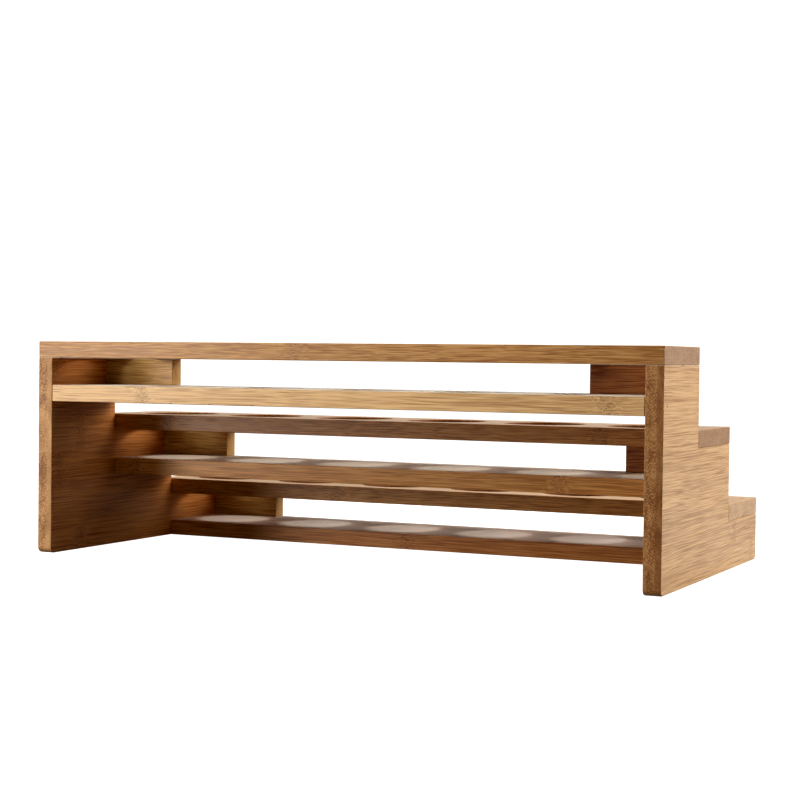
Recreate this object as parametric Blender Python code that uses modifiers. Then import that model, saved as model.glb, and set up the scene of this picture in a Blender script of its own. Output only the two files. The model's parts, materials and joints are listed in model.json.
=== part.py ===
"""Three-tier stepped spice rack for eighteen jars, in bamboo board.

Two stepped side panels carry three tiers. Each tier is a pierced upper board
that holds the jars round their bodies, a plain lower board that they stand on,
and two short plates that close the ends of the tier's front. The boards are
butted, glued and pinned with brads.

Frame: metres, +X along the rack, +Y towards its tall back, +Z up. The origin
is at the middle of the footprint, on the surface that the rack stands on.
"""

import math

import bmesh
import bpy
from mathutils import Matrix, Vector

# Driving dimensions
LENGTH = 0.393              # over the two side panels' outer faces
BOARD = 0.010               # thickness of every board
TIER_DEPTH = 0.0662         # front to back, the same for each tier
TIER_NAMES = ("front", "middle", "rear")
FIRST_TOP = 0.0382          # top of the front tier's upper board
TIER_RISE = 0.0453          # from one tier's top to the next
SLOTS = (0.0182, 0.0182, 0.0164)   # clear height between a tier's two boards
PLATE_LENGTH = 0.0495       # a front plate, along X

JARS_PER_TIER = 6
JAR_HOLE = 0.048            # diameter
JAR_PITCH = 0.063           # between hole centres

FIT = 0.0003                # gap between touching pieces
EASE = 0.0006               # rounding of the boards' edges
FOOT_ROUND = 0.0035         # radius of a side panel's two bottom corners

BRAD_LENGTH = 0.025
BRAD_SHANK = 0.0012         # diameter
BRAD_HEAD = 0.0018          # diameter
BRAD_HEAD_DEPTH = 0.0007
BRAD_SET = 0.0004           # how far a head is driven below the surface
BRAD_EDGE = 0.006           # a lower board's brads, from its front and back edge
BRAD_TOP_EDGE = 0.016       # an upper board's brads, from its front and back edge

HOLE_SIDES = 28
BRAD_SIDES = 8
CORNER_STEPS = 3

# Worked out from those
TIERS = len(TIER_NAMES)
DEPTH = TIERS * TIER_DEPTH
INNER = LENGTH / 2 - BOARD          # a side panel's inner face
PANEL_MID = LENGTH / 2 - BOARD / 2  # the middle of a side panel's thickness


def tier_front(tier):
    """Y of a tier's front face."""
    return -DEPTH / 2 + tier * TIER_DEPTH


def tier_top(tier):
    """Z of the top of a tier's upper board."""
    return FIRST_TOP + tier * TIER_RISE


def slot_top(tier):
    """Z of the underside of a tier's upper board."""
    return tier_top(tier) - BOARD


def slot_floor(tier):
    """Z of the top of a tier's lower board, on which its jars stand."""
    return slot_top(tier) - SLOTS[tier]


def clear_scene():
    for leftover in list(bpy.data.objects):
        bpy.data.objects.remove(leftover, do_unlink=True)


def new_collection(name):
    collection = bpy.data.collections.new(name)
    bpy.context.scene.collection.children.link(collection)
    return collection


def wood(name, colour, roughness):
    material = bpy.data.materials.new(name)
    material.use_nodes = True
    shader = material.node_tree.nodes["Principled BSDF"]
    shader.inputs["Base Color"].default_value = (*colour, 1.0)
    shader.inputs["Roughness"].default_value = roughness
    shader.inputs["Metallic"].default_value = 0.0
    return material


def steel(name, colour, roughness):
    material = wood(name, colour, roughness)
    material.node_tree.nodes["Principled BSDF"].inputs["Metallic"].default_value = 1.0
    return material


def add_object(name, mesh, collection, material=None):
    obj = bpy.data.objects.new(name, mesh)
    collection.objects.link(obj)
    if material is not None:
        mesh.materials.append(material)
    return obj


def box_mesh(name, low, high):
    """A box mesh about its own centre, and that centre."""
    low, high = Vector(low), Vector(high)
    box = bmesh.new()
    bmesh.ops.create_cube(box, size=1.0, matrix=Matrix.Diagonal((*(high - low), 1.0)))
    mesh = bpy.data.meshes.new(name)
    box.to_mesh(mesh)
    box.free()
    return mesh, (low + high) / 2


def ease_edges(obj):
    bevel = obj.modifiers.new("eased edges", "BEVEL")
    bevel.width = EASE
    bevel.segments = 1
    bevel.limit_method = "ANGLE"
    bevel.angle_limit = math.radians(40)
    obj.data.shade_smooth()
    obj.data.set_sharp_from_angle(angle=math.radians(50))


def cut(obj, cutter):
    boolean = obj.modifiers.new(cutter.name, "BOOLEAN")
    boolean.operation = "DIFFERENCE"
    boolean.solver = "EXACT"
    boolean.object = cutter


def as_cutter(obj):
    obj.hide_render = True
    obj.display_type = "WIRE"
    return obj


def turned(name, profile, sides, collection, material=None):
    """A solid of revolution about its own Z from (radius, height) points, top to bottom."""
    outline = bmesh.new()
    points = [outline.verts.new((radius, 0.0, height)) for radius, height in profile]
    for upper, lower in zip(points, points[1:]):
        outline.edges.new((upper, lower))
    mesh = bpy.data.meshes.new(name)
    outline.to_mesh(mesh)
    outline.free()
    obj = add_object(name, mesh, collection, material)
    screw = obj.modifiers.new("turned", "SCREW")
    screw.axis = "Z"
    screw.steps = sides
    screw.render_steps = sides
    screw.use_merge_vertices = True
    screw.merge_threshold = 0.00001
    screw.use_smooth_shade = True
    return obj


def brad_profile(clearance, above):
    """Head at height 0, or above it for the hole that the brad leaves, and point down."""
    head = BRAD_HEAD / 2 + clearance
    shank = BRAD_SHANK / 2 + clearance
    shoulder = -BRAD_HEAD_DEPTH - clearance
    tip = -BRAD_LENGTH - clearance
    return [
        (0.0, above),
        (head, above),
        (head, shoulder),
        (shank, shoulder),
        (shank, tip + BRAD_SHANK),
        (0.0, tip),
    ]


def side_outline():
    """The stepped outline as (y, z) points, from the front foot round to the back foot."""
    def foot(centre_y, start):
        """The quarter round at a bottom corner."""
        points = []
        for step in range(CORNER_STEPS + 1):
            angle = start + math.pi / 2 * step / CORNER_STEPS
            points.append((centre_y + FOOT_ROUND * math.cos(angle),
                           FOOT_ROUND + FOOT_ROUND * math.sin(angle)))
        return points

    front, back = -DEPTH / 2, DEPTH / 2
    points = foot(front + FOOT_ROUND, math.pi)
    points += foot(back - FOOT_ROUND, -math.pi / 2)
    for tier in reversed(range(TIERS)):
        seat = slot_top(tier) - FIT
        points.append((tier_front(tier) + TIER_DEPTH, seat))
        points.append((tier_front(tier), seat))
    return points


def side_panel(name, side, collection, material):
    """A stepped panel, its outline filled and extruded through the board's thickness."""
    curve = bpy.data.curves.new(name, "CURVE")
    curve.dimensions = "2D"
    curve.fill_mode = "BOTH"
    curve.extrude = BOARD / 2
    points = side_outline()
    spline = curve.splines.new("POLY")
    spline.points.add(len(points) - 1)
    for point, (y, z) in zip(spline.points, points):
        point.co = (y, z, 0.0, 1.0)
    spline.use_cyclic_u = True
    drawn = add_object(name + "_outline", curve, collection)
    # the outline's own plane stands up along the rack's depth
    drawn.matrix_world = Matrix(((0, 0, 1, side * PANEL_MID), (1, 0, 0, 0), (0, 1, 0, 0), (0, 0, 0, 1)))
    bpy.context.view_layer.update()

    evaluated = drawn.evaluated_get(bpy.context.evaluated_depsgraph_get())
    mesh = bpy.data.meshes.new_from_object(evaluated)
    mesh.name = name
    solid = bmesh.new()
    solid.from_mesh(mesh)
    bmesh.ops.remove_doubles(solid, verts=solid.verts, dist=0.00001)
    bmesh.ops.dissolve_limit(solid, angle_limit=math.radians(1), verts=solid.verts, edges=solid.edges)
    bmesh.ops.recalc_face_normals(solid, faces=solid.faces)
    solid.to_mesh(mesh)
    solid.free()

    panel = add_object(name, mesh, collection, material)
    panel.matrix_world = drawn.matrix_world.copy()
    bpy.data.objects.remove(drawn, do_unlink=True)
    ease_edges(panel)
    return panel


def board(name, low, high, collection, material):
    mesh, centre = box_mesh(name, low, high)
    obj = add_object(name, mesh, collection, material)
    obj.location = centre
    return obj


def upper_board(tier, collection, cutters, material):
    """A board across both side panels, pierced for the jars. It butts the riser behind it."""
    front = tier_front(tier)
    rear_gap = FIT if tier < TIERS - 1 else 0.0
    obj = board(
        f"{TIER_NAMES[tier]}_upper_board",
        (-LENGTH / 2, front, slot_top(tier)),
        (LENGTH / 2, front + TIER_DEPTH - rear_gap, tier_top(tier)),
        collection, material)
    for jar in range(JARS_PER_TIER):
        hole = bmesh.new()
        bmesh.ops.create_cone(
            hole, cap_ends=True, segments=HOLE_SIDES,
            radius1=JAR_HOLE / 2, radius2=JAR_HOLE / 2, depth=3 * BOARD)
        mesh = bpy.data.meshes.new("jar hole")
        hole.to_mesh(mesh)
        hole.free()
        cutter = as_cutter(add_object(f"{TIER_NAMES[tier]}_jar_hole_{jar + 1}", mesh, cutters))
        cutter.location = (
            (jar - (JARS_PER_TIER - 1) / 2) * JAR_PITCH,
            front + TIER_DEPTH / 2,
            slot_top(tier) + BOARD / 2)
        cut(obj, cutter)
    ease_edges(obj)
    return obj


def lower_board(tier, collection, material):
    """A plain board between the side panels, on which the jars stand."""
    obj = board(
        f"{TIER_NAMES[tier]}_lower_board",
        (-INNER + FIT, tier_front(tier), slot_floor(tier) - BOARD),
        (INNER - FIT, tier_front(tier) + TIER_DEPTH, slot_floor(tier)),
        collection, material)
    ease_edges(obj)
    return obj


def front_plate(tier, side, hand, collection, material):
    """A short plate between a tier's two boards, against a side panel, flush with the front."""
    ends = sorted((side * (INNER - FIT), side * (INNER - PLATE_LENGTH)))
    obj = board(
        f"{TIER_NAMES[tier]}_plate_{hand}",
        (ends[0], tier_front(tier), slot_floor(tier) + FIT),
        (ends[1], tier_front(tier) + BOARD, slot_top(tier) - FIT),
        collection, material)
    ease_edges(obj)
    return obj


def drive_brad(name, surface, pointing, pierced, collection, cutters, material):
    """A brad through the first of two pierced boards into the second, from a surface point."""
    turn = Vector((0, 0, -1)).rotation_difference(pointing).to_euler()
    place = Vector(surface) + Vector(pointing) * BRAD_SET
    brad = turned(name, brad_profile(0.0, 0.0), BRAD_SIDES, collection, material)
    brad.location = place
    brad.rotation_euler = turn
    hole = as_cutter(turned(
        name + "_hole", brad_profile(FIT, 2 * BRAD_SET + EASE), BRAD_SIDES, cutters))
    hole.location = place
    hole.rotation_euler = turn
    for obj in pierced:
        cut(obj, hole)


def build():
    clear_scene()
    rack = new_collection("spice_rack")
    cutters = new_collection("cutters")

    panel_wood = wood("panel bamboo", (0.56, 0.33, 0.16), 0.42)
    upper_wood = wood("upper board bamboo", (0.47, 0.26, 0.12), 0.38)
    lower_wood = wood("lower board bamboo", (0.60, 0.37, 0.18), 0.40)
    plate_wood = wood("plate bamboo", (0.42, 0.22, 0.10), 0.42)
    brad_steel = steel("brad steel", (0.30, 0.27, 0.24), 0.45)

    hands = (("left", -1), ("right", 1))
    panels = {hand: side_panel(f"side_panel_{hand}", side, rack, panel_wood) for hand, side in hands}

    for tier in range(TIERS):
        label = TIER_NAMES[tier]
        front = tier_front(tier)
        upper = upper_board(tier, rack, cutters, upper_wood)
        lower = lower_board(tier, rack, lower_wood)
        for hand, side in hands:
            panel = panels[hand]
            inward = Vector((-side, 0, 0))
            plate = front_plate(tier, side, hand, rack, plate_wood)

            drive_brad(
                f"{label}_plate_{hand}_brad",
                (side * LENGTH / 2, front + BOARD / 2, (slot_floor(tier) + slot_top(tier)) / 2),
                inward, (panel, plate), rack, cutters, brad_steel)
            for place, inset in (("fore", BRAD_EDGE), ("aft", TIER_DEPTH - BRAD_EDGE)):
                drive_brad(
                    f"{label}_lower_brad_{hand}_{place}",
                    (side * LENGTH / 2, front + inset, slot_floor(tier) - BOARD / 2),
                    inward, (panel, lower), rack, cutters, brad_steel)
            for place, inset in (("fore", BRAD_TOP_EDGE), ("aft", TIER_DEPTH - BRAD_TOP_EDGE)):
                drive_brad(
                    f"{label}_upper_brad_{hand}_{place}",
                    (side * PANEL_MID, front + inset, tier_top(tier)),
                    Vector((0, 0, -1)), (upper, panel), rack, cutters, brad_steel)


build()
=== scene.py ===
"""Looks of the three-tier bamboo spice rack: eased boards, their wood, the brads and a white studio."""

import json
import math

import bmesh
import bpy
from mathutils import Matrix, Vector


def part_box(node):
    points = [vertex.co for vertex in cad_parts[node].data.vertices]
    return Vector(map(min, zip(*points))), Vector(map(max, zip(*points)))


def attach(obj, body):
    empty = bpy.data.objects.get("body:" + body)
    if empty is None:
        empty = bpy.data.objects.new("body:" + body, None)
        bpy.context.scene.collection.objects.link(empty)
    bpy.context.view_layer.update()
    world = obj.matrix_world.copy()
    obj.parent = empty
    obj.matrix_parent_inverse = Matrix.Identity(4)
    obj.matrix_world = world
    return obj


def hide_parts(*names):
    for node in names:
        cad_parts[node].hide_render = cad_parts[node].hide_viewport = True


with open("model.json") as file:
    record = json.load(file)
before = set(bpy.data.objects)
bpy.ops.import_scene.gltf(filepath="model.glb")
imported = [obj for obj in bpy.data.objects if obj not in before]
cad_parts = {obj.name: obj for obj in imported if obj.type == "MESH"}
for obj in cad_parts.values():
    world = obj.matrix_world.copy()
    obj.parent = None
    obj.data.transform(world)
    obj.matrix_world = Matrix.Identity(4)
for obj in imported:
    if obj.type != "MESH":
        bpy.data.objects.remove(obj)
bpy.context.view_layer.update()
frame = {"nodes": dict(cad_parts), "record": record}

TIERS = ("front", "middle", "rear")
HANDS = ("left", "right")
BODY = "root"

# sizes, in metres
ARRIS = 0.0005              # rounding of the boards' edges
PLATE_ARRIS = ARRIS * 0.7   # the front plates' edges are sharper
ARRIS_STEPS = 4             # facets across a rounded edge
FOOT = 0.0035               # rounding of the side panels' bottom corners
FOOT_STEPS = 8
SEAM = 0.0001               # what shows as a hairline between two boards
RISER_GAP = 0.0003          # between an upper board and the riser behind it
BITE = 0.0002               # how far a hidden end reaches into its neighbour
CLEAR = 0.01                # how far a cutter reaches past the board
SAME = 0.0001               # nearer than this counts as the same place
JAR_HOLE = 0.048            # across
HOLE_CUTTER = 0.05          # long
UPRIGHT = 0.5               # a face whose normal rises by less than this is a wall
HOLE_SIDES = 96
BRAD_SIDES = 20
BRAD_WIRE = 0.0006          # radius
BRAD_POINT = 0.0014         # the point's length
BRAD_HEAD = ((0.0, 0.0), (0.0005, 0.00003), (0.00085, 0.00010), (0.0009, 0.0002), (0.00088, 0.0006),
             (BRAD_WIRE, 0.0009))      # its outline: radius and depth below the top
PIT_RADIUS = 0.0011         # of the pit over a brad's head
PIT_DEPTH = 0.0030
CHIP_RADIUS = 0.0009
CHIP_DEPTH = 0.0048
CHIP_LEAN = (0.15, 1.0, 0.1)
CHIP_SIDES = 7

# the photo's camera
CAMERA_PLACE = (-0.45004, 0.94229, 0.11961)
CAMERA_TURN = (88.671, -0.674, -154.454)
CAMERA_LENS = 76.81

# light
LIT_MIDDLE = (0.0, 0.05, 0.07)      # what the softboxes are aimed at
SOFTBOX_DISTANCE = 1.25
PLAIN_WHITE = (1.0, 1.0, 1.0)
COOL_WHITE = (0.84, 1.04, 1.22)     # overhead, for the grey ovals on the lower boards
BLACK_LEVEL = 0.004         # the picture's deep shadows are crushed
TOP_DUST = 0.24             # the pale sheen of dust on the upper boards' tops
SHELF_DUST = 0.54           # and on the lower boards' tops
BARE_DUST = 0.02            # and on upright faces
FLOOR_RADIUS = 12.0
FLOOR_SIDES = 96
FLOOR_HEIGHT = -0.0002      # just clear of the panels' feet
FLOOR_SEEN = 0.90           # the sweep is burnt out for the camera
FLOOR_MIRRORED = 0.02       # and dimmer in the reflections
DARK_ROOM = 0.06            # what the reflections see on the camera's side


# ---------------------------------------------------------------- stage

def add_camera():
    lens = bpy.data.cameras.new("camera")
    lens.lens = CAMERA_LENS
    lens.sensor_width = 36.0
    lens.clip_start = 0.01
    camera = bpy.data.objects.new("camera", lens)
    camera.location = CAMERA_PLACE
    camera.rotation_euler = [math.radians(turn) for turn in CAMERA_TURN]
    bpy.context.scene.collection.objects.link(camera)
    bpy.context.scene.camera = camera


def add_softbox(name, turn, lift, side, power, tint=PLAIN_WHITE):
    """A square softbox aimed at the rack.

    turn is its bearing in degrees, from the rack's tall back towards +X. lift is its height in degrees above
    the rack's middle. side is its size in metres and power is in watts."""
    turn, lift = math.radians(turn), math.radians(lift)
    lamp = bpy.data.lights.new(name, "AREA")
    lamp.shape = "SQUARE"
    lamp.size = side
    lamp.energy = power
    lamp.color = tint
    light = bpy.data.objects.new(name, lamp)
    aim = Vector(LIT_MIDDLE)
    light.location = aim + SOFTBOX_DISTANCE * Vector((
        math.cos(lift) * math.sin(turn), math.cos(lift) * math.cos(turn), math.sin(lift)))
    light.rotation_euler = (aim - light.location).to_track_quat("-Z", "Y").to_euler()
    bpy.context.scene.collection.objects.link(light)


def add_world(seen, mirrored, window, sky, ground):
    """White for the camera.

    The reflections see a white backdrop in a dark room, and a bright window far to the side of the
    camera. The wood gets a dim fill."""
    world = bpy.data.worlds.new("studio")
    world.use_nodes = True
    bpy.context.scene.world = world
    nodes, links = world.node_tree.nodes, world.node_tree.links
    nodes.clear()
    direction = nodes.new("ShaderNodeTexCoord")
    split = nodes.new("ShaderNodeSeparateXYZ")
    links.new(direction.outputs["Generated"], split.inputs[0])

    def span(value, low, high, to_low, to_high):
        made = nodes.new("ShaderNodeMapRange")
        made.inputs["From Min"].default_value = low
        made.inputs["From Max"].default_value = high
        made.inputs["To Min"].default_value = to_low
        made.inputs["To Max"].default_value = to_high
        links.new(value, made.inputs["Value"])
        return made.outputs["Result"]

    def mix(share, a, b):
        made = nodes.new("ShaderNodeMix")
        made.data_type = "FLOAT"
        links.new(share, made.inputs["Factor"])
        for socket, value in ((made.inputs["A"], a), (made.inputs["B"], b)):
            if isinstance(value, float):
                socket.default_value = value
            else:
                links.new(value, socket)
        return made.outputs["Result"]

    # what the wood is lit by, then what its reflections see: the backdrop behind the rack, or the room
    height = span(split.outputs["Z"], -0.1, 0.3, ground, sky)
    backdrop = span(split.outputs["Y"], -0.25, 0.15, 1.0, 0.0)
    sideways = span(split.outputs["X"], -0.4, 0.5, mirrored, mirrored * 0.45)
    glow = span(split.outputs["X"], 0.30, 0.66, DARK_ROOM, window)
    level = nodes.new("ShaderNodeMath")
    level.operation = "ABSOLUTE"
    links.new(split.outputs["Z"], level.inputs[0])
    near = span(level.outputs[0], 0.35, 0.6, 1.0, 0.0)
    room = mix(near, DARK_ROOM, glow)
    reflected = mix(backdrop, room, sideways)
    path = nodes.new("ShaderNodeLightPath")
    strength = mix(path.outputs["Is Glossy Ray"], seen, reflected)
    strength = mix(path.outputs["Is Diffuse Ray"], strength, height)
    background = nodes.new("ShaderNodeBackground")
    background.inputs["Color"].default_value = (1.0, 1.0, 1.0, 1.0)
    links.new(strength, background.inputs["Strength"])
    output = nodes.new("ShaderNodeOutputWorld")
    links.new(background.outputs[0], output.inputs[0])


def add_floor():
    ring = bmesh.new()
    bmesh.ops.create_circle(ring, cap_ends=True, segments=FLOOR_SIDES, radius=FLOOR_RADIUS)
    mesh = bpy.data.meshes.new("floor")
    ring.to_mesh(mesh)
    ring.free()
    floor = bpy.data.objects.new("floor", mesh)
    floor.location = (0.0, 0.0, FLOOR_HEIGHT)
    bpy.context.scene.collection.objects.link(floor)
    material = bpy.data.materials.new("white sweep")
    material.use_nodes = True
    shader = material.node_tree.nodes["Principled BSDF"]
    shader.inputs["Base Color"].default_value = (0.40, 0.40, 0.40, 1.0)
    shader.inputs["Roughness"].default_value = 0.9
    shader.inputs["Specular IOR Level"].default_value = 0.1
    shader.inputs["Emission Color"].default_value = (1.0, 1.0, 1.0, 1.0)
    path = material.node_tree.nodes.new("ShaderNodeLightPath")
    glow = material.node_tree.nodes.new("ShaderNodeMapRange")
    glow.inputs["To Min"].default_value = FLOOR_MIRRORED
    glow.inputs["To Max"].default_value = FLOOR_SEEN
    material.node_tree.links.new(path.outputs["Is Camera Ray"], glow.inputs["Value"])
    material.node_tree.links.new(glow.outputs["Result"], shader.inputs["Emission Strength"])
    mesh.materials.append(material)
    floor.visible_diffuse = False    # the sweep is burnt out in the picture, yet hardly lights the wood


# ---------------------------------------------------------------- node helpers

def srgb(red, green, blue):
    """A linear RGBA colour from 0-255 display values."""
    def linear(value):
        value /= 255
        return value / 12.92 if value <= 0.04045 else ((value + 0.055) / 1.055) ** 2.4
    return (linear(red), linear(green), linear(blue), 1.0)


class Graph:
    """Short ways to write a material's nodes."""

    def __init__(self, name):
        self.material = bpy.data.materials.new(name)
        self.material.use_nodes = True
        self.tree = self.material.node_tree
        self.shader = self.tree.nodes["Principled BSDF"]

    def node(self, kind, **settings):
        made = self.tree.nodes.new(kind)
        for key, value in settings.items():
            setattr(made, key, value)
        return made

    def feed(self, socket, value):
        if isinstance(value, bpy.types.NodeSocket):
            self.tree.links.new(value, socket)
        else:
            socket.default_value = value

    def math(self, operation, *values, clamp=False):
        made = self.node("ShaderNodeMath", operation=operation, use_clamp=clamp)
        for socket, value in zip(made.inputs, values):
            self.feed(socket, value)
        return made.outputs[0]

    def add(self, a, b):
        return self.math("ADD", a, b)

    def sub(self, a, b):
        return self.math("SUBTRACT", a, b)

    def mul(self, a, b):
        return self.math("MULTIPLY", a, b)

    def vector(self, x, y, z):
        made = self.node("ShaderNodeCombineXYZ")
        for socket, value in zip(made.inputs, (x, y, z)):
            self.feed(socket, value)
        return made.outputs[0]

    def stretched(self, g, u, v, along, across, through=None):
        """A place for a texture, with its own scale on each axis."""
        through = across if through is None else through
        return self.vector(self.mul(g, along), self.mul(u, across), self.mul(v, through))

    def moved(self, g, u, v, along, across, through, seed):
        """The same, with the last axis moved by the board's seed."""
        return self.vector(self.mul(g, along), self.mul(u, across), self.add(self.mul(v, through), seed))

    def swing(self, value, size):
        """A 0-1 value turned into one on either side of zero."""
        return self.mul(self.sub(value, HALF), size)

    def span(self, value, low, high, to_low=0.0, to_high=1.0, smooth=False):
        made = self.node("ShaderNodeMapRange", clamp=True)
        if smooth:
            made.interpolation_type = "SMOOTHSTEP"
        for key, item in (("Value", value), ("From Min", low), ("From Max", high),
                          ("To Min", to_low), ("To Max", to_high)):
            self.feed(made.inputs[key], item)
        return made.outputs["Result"]

    def noise(self, place, detail=2.0, roughness=0.5, scale=1.0):
        made = self.node("ShaderNodeTexNoise")
        self.feed(made.inputs["Vector"], place)
        made.inputs["Scale"].default_value = scale
        made.inputs["Detail"].default_value = detail
        made.inputs["Roughness"].default_value = roughness
        return made.outputs["Fac"]

    def cells(self, place, randomness=1.0):
        """Voronoi cells, as the node itself, for its distances and its colours."""
        made = self.node("ShaderNodeTexVoronoi")
        self.feed(made.inputs["Vector"], place)
        made.inputs["Scale"].default_value = 1.0
        made.inputs["Randomness"].default_value = randomness
        return made

    def chance(self, value):
        """A random number for each whole value."""
        made = self.node("ShaderNodeTexWhiteNoise", noise_dimensions="1D")
        self.feed(made.inputs["W"], value)
        return made.outputs["Value"]

    def blend(self, share, a, b):
        made = self.node("ShaderNodeMix", data_type="RGBA")
        self.feed(made.inputs["Factor"], share)
        self.feed(made.inputs["A"], a)
        self.feed(made.inputs["B"], b)
        return made.outputs["Result"]

    def blend_value(self, share, a, b):
        made = self.node("ShaderNodeMix", data_type="FLOAT")
        self.feed(made.inputs["Factor"], share)
        self.feed(made.inputs["A"], a)
        self.feed(made.inputs["B"], b)
        return made.outputs["Result"]

    def cell_chance(self, cells):
        """A random value for each Voronoi cell."""
        split = self.node("ShaderNodeSeparateColor")
        self.feed(split.inputs[0], cells.outputs["Color"])
        return split.outputs[0]


# ---------------------------------------------------------------- bamboo

KNUCKLE_SPACING = 0.2876    # along a strip
KNUCKLE_STAGGER = 0.0202    # from one strip to the next, over three strips
STRIP = 0.0237              # a strip's width in the board
STRIP_EDGE = 0.0138         # how much of the first strip was cut off
HALF = 0.5                  # the middle of a noise

# textures' scales, per metre: along the fibres, then across them
FINE_FIBRES = (60.0, 2200.0)
MIDDLE_FIBRES = (26.0, 1550.0)
BROAD_FIBRES = (7.0, 110.0)
BUNDLES = (60.0, 1400.0)
PATCHES = (18.0, 60.0)
BENDS = (15.0, 30.0)
CURLS = (200.0, 220.0)
WOBBLES = 120.0
PITS = (700.0, 850.0)
END_DOTS = (60.0, 760.0, 1150.0)
END_STAINS = (30.0, 90.0, 220.0)
END_BLOTS = (30.0, 50.0, 160.0)

BUMP_HEIGHT = 0.00007
SHEEN_TINT = (0.96, 1.0, 0.92, 1.0)


def shades(red, green, blue, spread=22):
    """The light and the dark wood on either side of a mean colour, and its dark fibres."""
    light = (red + spread, green + spread * 1.05, blue + spread * 0.95)
    dark = (red - spread * 1.15, green - spread * 1.15, blue - spread)
    line = (red * 0.62, green * 0.52, blue * 0.44)
    return light, dark, line


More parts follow.
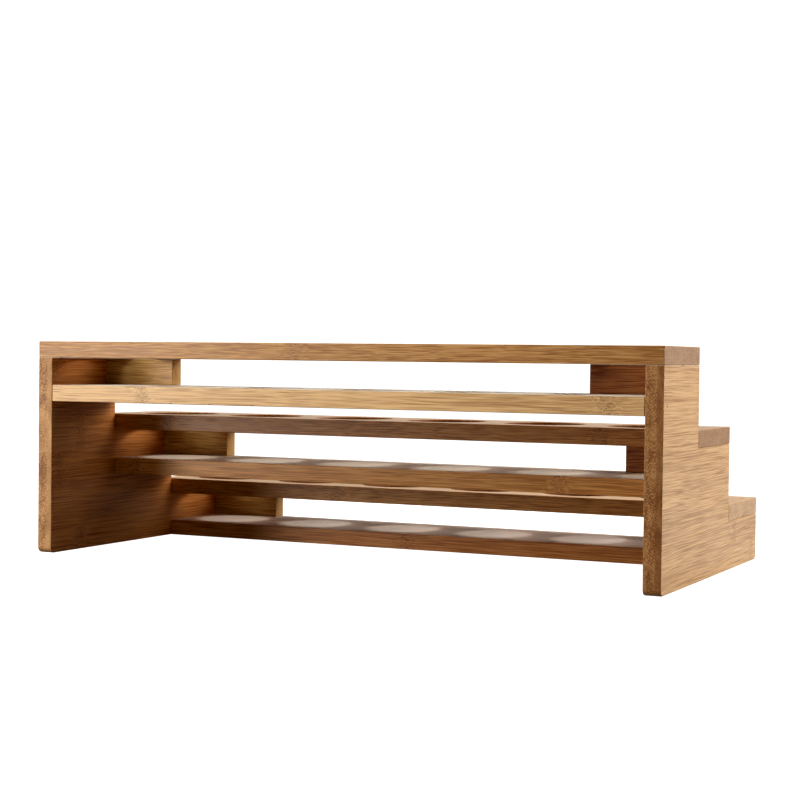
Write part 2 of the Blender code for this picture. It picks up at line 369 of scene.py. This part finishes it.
def bamboo(name, along, across, through, edge, face, end, seed, knuckle, contrast=1.0, stretch=1.0,
           end_spread=14, plain=None, dust=TOP_DUST):
    """Laminated bamboo as a solid texture: fibres run along, strips lie side by side across from edge.

    along, across and through are the axes' indices. face and end are the mean colours of the long faces
    and of the cut ends. seed sets the board apart from the others. knuckle is where the strips' knuckles
    are. A stretch below one lengthens the fibres. end_spread is how far the cut ends' tones spread. plain
    is where, through the thickness, the cut ends lose most of their dots, and the tone that they have
    there. dust is the pale sheen on faces that look up."""
    light, dark, line = shades(*face)
    end_light, end_dark, end_line = shades(*end, spread=end_spread)
    graph = Graph(name)
    coords = graph.node("ShaderNodeTexCoord")
    split = graph.node("ShaderNodeSeparateXYZ")
    graph.feed(split.inputs[0], coords.outputs["Object"])
    lean = graph.node("ShaderNodeSeparateXYZ")
    graph.feed(lean.inputs[0], coords.outputs["Normal"])
    g = split.outputs[along]
    u = split.outputs[across]
    v = split.outputs[through]

    # strips, each with its own tone, and knuckles staggered from strip to strip
    strip = graph.math("FLOOR", graph.math("DIVIDE", graph.sub(edge + STRIP_EDGE, u), STRIP))
    tone = graph.chance(graph.add(strip, seed + 0.5))
    place = graph.add(graph.mul(graph.math("MODULO", graph.add(strip, 1.0), 3.0), KNUCKLE_STAGGER), knuckle)
    turn = graph.math("DIVIDE", graph.sub(g, place), KNUCKLE_SPACING)
    nearest = graph.sub(turn, graph.math("ROUND", turn))
    wobble = graph.sub(graph.noise(graph.vector(graph.mul(u, WOBBLES), graph.mul(v, WOBBLES), seed)), HALF)
    from_knuckle = graph.add(graph.mul(nearest, KNUCKLE_SPACING), graph.mul(wobble, 0.006))
    distance = graph.math("ABSOLUTE", from_knuckle)
    swirl = graph.span(distance, 0.001, 0.013, 1.0, 0.0, smooth=True)
    knot = graph.span(distance, 0.0018, 0.0065, 1.0, 0.0, smooth=True)

    # fibres bend a little, and curl at the knuckles
    bend = graph.sub(graph.noise(graph.moved(g, u, v, BENDS[0] * stretch, BENDS[1], BENDS[1], seed)), HALF)
    curl = graph.sub(graph.noise(graph.stretched(g, u, v, *CURLS), 1.0), HALF)
    shift = graph.add(graph.mul(bend, 0.0040), graph.mul(graph.mul(curl, swirl), 0.0035))
    uu = graph.add(graph.add(u, shift), seed * 0.37)
    vv = graph.add(graph.add(v, graph.mul(shift, 0.7)), seed * 0.11)

    def along_fibres(lengthwise, crosswise):
        return graph.stretched(g, uu, vv, lengthwise * stretch, crosswise)

    fine = graph.noise(along_fibres(*FINE_FIBRES), 1.0, 0.55)
    middle = graph.noise(along_fibres(*MIDDLE_FIBRES), 1.0, 0.55)
    broad = graph.noise(along_fibres(*BROAD_FIBRES), 2.0, 0.55)
    bundles = graph.cells(along_fibres(*BUNDLES))
    dash = graph.span(bundles.outputs["Distance"], 0.14, 0.45, 1.0, 0.0, smooth=True)
    patchy = graph.noise(graph.moved(g, u, v, PATCHES[0], PATCHES[1], PATCHES[1], seed), 1.0)
    patchy = graph.add(graph.mul(graph.span(patchy, 0.35, 0.65), 0.7), 0.3)
    dash = graph.mul(dash, graph.mul(graph.span(graph.cell_chance(bundles), 0.25, 0.95), patchy))

    amount = graph.add(graph.swing(fine, 2.9 * contrast), graph.swing(middle, 2.5 * contrast))
    amount = graph.add(amount, graph.swing(broad, 1.0))
    amount = graph.add(amount, graph.swing(tone, 0.25))
    amount = graph.math("ADD", amount, 0.56, clamp=True)
    wood = graph.blend(amount, srgb(*dark), srgb(*light))
    wood = graph.blend(graph.mul(dash, 0.60 * contrast), wood, srgb(*line))

    # knuckles: dark pits and pale flecks among the curled fibres
    pits = graph.cells(graph.stretched(g, u, v, *PITS))
    pit = graph.span(pits.outputs["Distance"], 0.18, 0.48, 1.0, 0.0, smooth=True)
    sunk = graph.span(graph.cell_chance(pits), 0.45, 0.60)
    wood = graph.blend(graph.mul(knot, 0.16), wood, srgb(*line))
    wood = graph.blend(graph.mul(graph.mul(knot, pit), graph.mul(sunk, 0.70)), wood, srgb(*line))
    fleck = graph.mul(graph.mul(knot, pit), graph.sub(1.0, sunk))
    wood = graph.blend(graph.mul(fleck, 0.45), wood, srgb(*light))

    # cut ends: the bundles seen end on, in slanting rows that turn the other way in the next strip
    side = graph.sub(graph.mul(graph.math("MODULO", graph.math("ABSOLUTE", strip), 2.0), 2.0), 1.0)
    slant = graph.mul(v, side)
    row = graph.add(graph.mul(u, 0.80), graph.mul(slant, 0.60))
    rank = graph.sub(graph.mul(slant, 0.80), graph.mul(u, 0.60))
    dots = graph.cells(graph.stretched(g, row, rank, *END_DOTS), 0.6)
    dot = graph.span(dots.outputs["Distance"], 0.22, 0.58, 1.0, 0.0, smooth=True)
    dot = graph.mul(dot, graph.span(graph.cell_chance(dots), -0.3, 0.6))
    stain = graph.noise(graph.stretched(g, u, v, *END_STAINS))
    end_tone = graph.add(graph.mul(dot, 1.35), graph.swing(stain, 1.6))
    end_tone = graph.add(end_tone, graph.swing(tone, 0.35))
    if plain:
        start, stop, plain_tone = plain
        share = graph.span(v, start, stop, 0.0, 0.70, smooth=True)
        end_tone = graph.blend_value(share, end_tone, graph.add(plain_tone, graph.swing(stain, 1.0)))
    end_tone = graph.math("ADD", end_tone, 0.20, clamp=True)
    cut = graph.blend(end_tone, srgb(*end_dark), srgb(*end_light))
    blot = graph.noise(graph.moved(g, u, v, *END_BLOTS, seed), 1.0)
    blot = graph.span(blot, 0.62, 0.80, smooth=True)
    cut = graph.blend(graph.mul(blot, 0.55), cut, srgb(*end_line))
    facing_end = graph.span(graph.math("ABSOLUTE", lean.outputs[along]), 0.55, 0.85, smooth=True)
    colour = graph.blend(facing_end, wood, cut)

    # worn arrises
    flat = graph.math("POWER", lean.outputs[through], 2.0)
    arris = graph.mul(graph.mul(flat, graph.sub(1.0, flat)), 4.0)
    colour = graph.blend(graph.mul(arris, 0.20), colour, srgb(*light))
    graph.feed(graph.shader.inputs["Base Color"], colour)

    # how rough and how raised each part is
    rough = graph.add(0.40, graph.swing(middle, 0.30))
    rough = graph.add(rough, graph.mul(facing_end, 0.18))
    rough = graph.add(rough, graph.mul(dash, 0.10))
    rough = graph.add(rough, graph.mul(arris, 0.30))
    graph.feed(graph.shader.inputs["Roughness"], rough)

    relief = graph.sub(graph.mul(fine, 0.6), graph.mul(dash, 0.7))
    relief = graph.sub(relief, graph.mul(graph.mul(knot, pit), graph.mul(sunk, 1.2)))
    relief = graph.blend_value(facing_end, relief, graph.mul(dot, 0.5))
    bump = graph.node("ShaderNodeBump")
    bump.inputs["Strength"].default_value = 0.6
    bump.inputs["Distance"].default_value = BUMP_HEIGHT
    graph.feed(bump.inputs["Height"], relief)
    graph.feed(graph.shader.inputs["Normal"], bump.outputs["Normal"])

    # a thin lacquer that is worn off the arrises, and dust on what looks up
    graph.feed(graph.shader.inputs["Coat Weight"], graph.span(arris, 0.0, 0.4, 0.10, 0.0))
    graph.shader.inputs["Coat Roughness"].default_value = 0.30
    graph.shader.inputs["Specular IOR Level"].default_value = 0.30
    settled = graph.span(lean.outputs["Z"], 0.55, 0.95, BARE_DUST, dust)
    graph.feed(graph.shader.inputs["Sheen Weight"], settled)
    graph.shader.inputs["Sheen Roughness"].default_value = 0.90
    graph.shader.inputs["Sheen Tint"].default_value = SHEEN_TINT
    return graph.material


def brad_steel():
    graph = Graph("brad steel")
    coords = graph.node("ShaderNodeTexCoord")
    spots = graph.noise(coords.outputs["Object"], 3.0, 0.6, scale=2500.0)
    colour = graph.blend(graph.span(spots, 0.35, 0.65), srgb(70, 58, 46), srgb(132, 122, 108))
    graph.feed(graph.shader.inputs["Base Color"], colour)
    graph.feed(graph.shader.inputs["Roughness"], graph.span(spots, 0.3, 0.7, 0.3, 0.6))
    graph.shader.inputs["Metallic"].default_value = 1.0
    return graph.material


# ---------------------------------------------------------------- boards

def scratch_object(name, shape):
    """An object from a bmesh, in world coordinates."""
    mesh = bpy.data.meshes.new(name)
    shape.to_mesh(mesh)
    shape.free()
    obj = bpy.data.objects.new(name, mesh)
    bpy.context.scene.collection.objects.link(obj)
    return obj


def cut_away(obj, cutters):
    """Cuts each cutter out of obj and removes it."""
    for cutter in cutters:
        boolean = obj.modifiers.new("cut", "BOOLEAN")
        boolean.operation = "DIFFERENCE"
        boolean.solver = "EXACT"
        boolean.object = cutter
    bpy.context.view_layer.update()
    cut = obj.evaluated_get(bpy.context.evaluated_depsgraph_get())
    mesh = bpy.data.meshes.new_from_object(cut)
    mesh.name = obj.name
    obj.modifiers.clear()
    obj.data = mesh
    for cutter in cutters:
        bpy.data.objects.remove(cutter, do_unlink=True)


def block(name, low, high):
    """A box between two corners."""
    shape = bmesh.new()
    place = Matrix.Translation((low + high) / 2) @ Matrix.Diagonal((*(high - low), 1.0))
    bmesh.ops.create_cube(shape, size=1.0, matrix=place)
    return scratch_object(name, shape)


def drum(name, centre, radius, depth, sides, axis=(0, 0, 1)):
    """A cylinder about its centre."""
    shape = bmesh.new()
    turn = Vector((0, 0, 1)).rotation_difference(Vector(axis)).to_matrix().to_4x4()
    bmesh.ops.create_cone(shape, cap_ends=True, segments=sides, radius1=radius, radius2=radius,
                          depth=depth, matrix=Matrix.Translation(centre) @ turn)
    return scratch_object(name, shape)


def round_edges(obj, width):
    """Rounds every sharp edge, after merging doubled points and near-flat faces."""
    shape = bmesh.new()
    shape.from_mesh(obj.data)
    bmesh.ops.remove_doubles(shape, verts=shape.verts, dist=0.000002)
    bmesh.ops.dissolve_limit(shape, angle_limit=math.radians(0.5), verts=shape.verts, edges=shape.edges)
    sharp = [edge for edge in shape.edges if edge.calc_face_angle(0.0) > math.radians(40)]
    bmesh.ops.bevel(shape, geom=sharp, offset=width, segments=ARRIS_STEPS, profile=0.5,
                    affect="EDGES", clamp_overlap=False)
    shape.to_mesh(obj.data)
    shape.free()


def brad_pits(opens_here):
    """Cutters for the pits over the set heads, one for each brad whose name passes opens_here."""
    return [drum(f"pit_{node}", head, PIT_RADIUS, PIT_DEPTH, BRAD_SIDES, axis)
            for node, (head, axis) in BRADS.items() if opens_here(node)]


def finish_board(obj, node, material):
    """Gives a board its name, its material and smooth edges, attaches it to the body and hides its CAD part.
    """
    obj.name = f"{node}_wood"
    obj.data.name = obj.name
    obj.data.materials.clear()
    obj.data.materials.append(material)
    obj.data.shade_smooth()
    weighted = obj.modifiers.new("flat faces stay flat", "WEIGHTED_NORMAL")
    weighted.mode = "FACE_AREA"
    weighted.weight = 100
    weighted.keep_sharp = False
    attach(obj, BODY)
    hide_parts(node)


def brad_heads():
    """Where each brad's head is, and which way it was driven, from its node's box."""
    heads = {}
    for node in frame["nodes"]:
        if "brad" not in node:
            continue
        low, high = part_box(node)
        centre = (low + high) / 2
        size = high - low
        if size.z > size.x:
            axis, head = Vector((0, 0, -1)), Vector((centre.x, centre.y, high.z))
        else:
            side = math.copysign(1.0, centre.x)
            axis = Vector((-side, 0, 0))
            head = Vector((low.x if side < 0 else high.x, centre.y, centre.z))
        heads[node] = (head, axis)
    return heads


def jar_centres(tier):
    """The jar holes' centres, read from the stated openings."""
    openings = frame["record"]["physics"]["openings"]
    boxes = [opening["box_m"] for opening in openings if opening["name"].startswith(f"{tier}_jar_")]
    return [((low[0] + high[0]) / 2, (low[1] + high[1]) / 2) for low, high in boxes]


BRADS = brad_heads()


def upper_board(tier, material, hole_shade):
    node = f"{tier}_upper_board"
    low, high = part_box(node)
    board = block(node, low, high)
    centres = jar_centres(tier)
    cut_away(board, [drum("hole", Vector((*centre, low.z)), JAR_HOLE / 2, HOLE_CUTTER, HOLE_SIDES)
                     for centre in centres])
    round_edges(board, ARRIS)
    cut_away(board, brad_pits(lambda name: name.startswith(f"{tier}_upper_brad")))
    finish_board(board, node, material)
    # the holes' walls take the darker material, which is painted shade
    board.data.materials.append(hole_shade)
    for face in board.data.polygons:
        inside = any(math.dist(face.center[:2], centre) < JAR_HOLE / 2 for centre in centres)
        face.material_index = int(inside and abs(face.normal.z) < UPRIGHT)


def lower_board(tier, material):
    node = f"{tier}_lower_board"
    low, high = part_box(node)
    low.x -= BITE
    high.x += BITE
    board = block(node, low, high)
    round_edges(board, ARRIS)
    if tier == "rear":
        cut_away(board, [drum("chip", Vector((x, high.y, low.z)), CHIP_RADIUS, CHIP_DEPTH,
                              CHIP_SIDES, CHIP_LEAN) for x in CHIPS])
    finish_board(board, node, material)


def front_plate(tier, hand, material):
    node = f"{tier}_plate_{hand}"
    low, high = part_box(node)
    low.z -= BITE
    high.z += BITE
    if hand == "left":
        low.x -= BITE
    else:
        high.x += BITE
    plate = block(node, low, high)
    round_edges(plate, PLATE_ARRIS)
    finish_board(plate, node, material)


def side_panel(hand, material):
    node = f"side_panel_{hand}"
    low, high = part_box(node)
    high.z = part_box("rear_upper_board")[0].z - SEAM
    panel = block(node, low, high)
    cutters = []
    for tier in ("front", "middle"):
        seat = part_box(f"{tier}_upper_board")[0].z - SEAM
        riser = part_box(f"{tier}_upper_board")[1].y + RISER_GAP
        cutters.append(block("step", Vector((low.x - CLEAR, low.y - CLEAR, seat)),
                             Vector((high.x + CLEAR, riser, high.z + CLEAR))))
    cut_away(panel, cutters)
    shape = bmesh.new()
    shape.from_mesh(panel.data)
    feet = [edge for edge in shape.edges
            if all(vert.co.z < low.z + SAME for vert in edge.verts)
            and abs(edge.verts[0].co.y - edge.verts[1].co.y) < SAME]
    bmesh.ops.bevel(shape, geom=feet, offset=FOOT, segments=FOOT_STEPS, profile=0.5, affect="EDGES")
    shape.to_mesh(panel.data)
    shape.free()
    round_edges(panel, ARRIS)
    cut_away(panel, brad_pits(lambda name: f"_{hand}" in name and "upper_brad" not in name))
    finish_board(panel, node, material)


def brad(node, material):
    """A wire brad with a slightly crowned head, turned about its own axis."""
    head, axis = BRADS[node]
    low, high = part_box(node)
    length = max(high - low)
    profile = [*BRAD_HEAD, (BRAD_WIRE, length - BRAD_POINT), (0.0, length)]
    shape = bmesh.new()
    rings = []
    turn = Vector((0, 0, 1)).rotation_difference(axis).to_matrix()
    for radius, depth in profile:
        steps = 1 if radius == 0.0 else BRAD_SIDES
        ring = []
        for step in range(steps):
            bearing = 2 * math.pi * step / BRAD_SIDES
            place = Vector((radius * math.cos(bearing), radius * math.sin(bearing), depth))
            ring.append(shape.verts.new(head + turn @ place))
        rings.append(ring)
    for upper, lower in zip(rings, rings[1:]):
        for step in range(BRAD_SIDES):
            after = (step + 1) % BRAD_SIDES
            corners = [upper[step % len(upper)], lower[step % len(lower)],
                       lower[after % len(lower)], upper[after % len(upper)]]
            shape.faces.new(tuple(dict.fromkeys(corners)))
    bmesh.ops.recalc_face_normals(shape, faces=shape.faces)
    obj = scratch_object(f"{node}_wire", shape)
    obj.data.materials.append(material)
    obj.data.shade_smooth()
    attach(obj, BODY)
    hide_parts(node)


# ---------------------------------------------------------------- the rack

X, Y, Z = 0, 1, 2

# mean colours of the boards' faces and cut ends, as 0-255 display values
PANEL_FACES = dict(left=(197, 155, 110), right=(185, 119, 60))
PANEL_ENDS = dict(left=(165, 113, 61), right=(177, 127, 76))
BOARD_ENDS = dict(front=(187, 152, 118), middle=(158, 121, 89), rear=(164, 128, 97))
UPPER_FACES = dict(front=(199, 138, 71), middle=(182, 123, 65), rear=(180, 128, 71))
# the jar holes' walls are darker than the boards: painted shade in the holes
HOLE_SHADE_FACES = dict(front=(128, 80, 42), middle=(116, 72, 38), rear=(116, 74, 39))
LOWER_FACES = dict(front=(189, 121, 60), middle=(206, 143, 76), rear=(211, 167, 114))
# the left plates are darker than the right ones: painted shade
PLATE_FACES = dict(left=(137, 80, 33), right=(170, 131, 76))

# where knuckles are, along each board
UPPER_KNUCKLES = dict(front=0.060, middle=0.148, rear=0.020)
LOWER_KNUCKLES = dict(front=0.010, middle=-0.1155, rear=0.122)
PANEL_KNUCKLE = 0.0708
PANEL_KNUCKLES = dict(left=PANEL_KNUCKLE + 0.13, right=PANEL_KNUCKLE)
PANEL_SEEDS = dict(left=3.1, right=7.7)
UPPER_SEED, LOWER_SEED, PLATE_SEED = 11.3, 21.9, 31.7
PLATE_KNUCKLE = 0.05
CHIPS = (0.1011, 0.0744, 0.0463)    # along the rear lower board's bottom arris

# the panels' cut ends lose their dots towards -X, and have this tone there
PLAIN_FROM, PLAIN_BELOW = 0.0042, 0.0030
PLAIN_TONE = dict(left=-0.08, right=0.45)


def make_rack():
    for hand in HANDS:
        low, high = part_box(f"side_panel_{hand}")
        plain = (low.x + PLAIN_FROM, low.x + PLAIN_BELOW, PLAIN_TONE[hand])
        side_panel(hand, bamboo(
            f"panel {hand}", Y, Z, X, high.z, PANEL_FACES[hand], PANEL_ENDS[hand], PANEL_SEEDS[hand],
            PANEL_KNUCKLES[hand], stretch=0.5, end_spread=32, plain=plain))
    for count, tier in enumerate(TIERS):
        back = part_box(f"{tier}_upper_board")[1].y
        knuckle = UPPER_KNUCKLES[tier] - KNUCKLE_STAGGER
        wood = bamboo(f"{tier} upper", X, Y, Z, back, UPPER_FACES[tier], BOARD_ENDS[tier],
                      UPPER_SEED + count, knuckle)
        # the same wood, darker, for the jar holes' walls: painted shade
        hole_shade = bamboo(f"{tier} drilled", X, Y, Z, back, HOLE_SHADE_FACES[tier], HOLE_SHADE_FACES[tier],
                         UPPER_SEED + count, knuckle)
        upper_board(tier, wood, hole_shade)
        lower_board(tier, bamboo(
            f"{tier} lower", X, Y, Z, back, LOWER_FACES[tier], BOARD_ENDS[tier], LOWER_SEED + count,
            LOWER_KNUCKLES[tier] - KNUCKLE_STAGGER, stretch=0.65, dust=SHELF_DUST))
        for turn, hand in enumerate(HANDS):
            # each hand's plates have their own colour; the darker left ones carry painted shade
            front_plate(tier, hand, bamboo(
                f"{tier} plate {hand}", X, Z, Y, back, PLATE_FACES[hand], PLATE_FACES[hand],
                PLATE_SEED + 2 * count + turn, PLATE_KNUCKLE, contrast=1.2))
    steel = brad_steel()
    for node in BRADS:
        brad(node, steel)


def set_view():
    """Strong contrast and deep shadows, as in the photo."""
    view = bpy.context.scene.view_settings
    view.view_transform = "Standard"
    view.look = "Medium High Contrast"
    view.use_curve_mapping = True
    view.curve_mapping.black_level = [BLACK_LEVEL] * 3
    view.curve_mapping.update()


set_view()
add_camera()
add_world(seen=1.1, mirrored=0.40, window=0.5, sky=0.05, ground=0.05)
add_floor()
add_softbox("key", 46, 26, 0.35, 5.9)
add_softbox("key low", 40, 4, 0.35, 4.1)
add_softbox("key high", 25, 42, 0.35, 3.5)
add_softbox("side", -112, 20, 0.60, 13.2)
add_softbox("top", 140, 69, 0.36, 9.5, tint=COOL_WHITE)
add_softbox("fill", -27, 8, 0.80, 0.8)
make_rack()
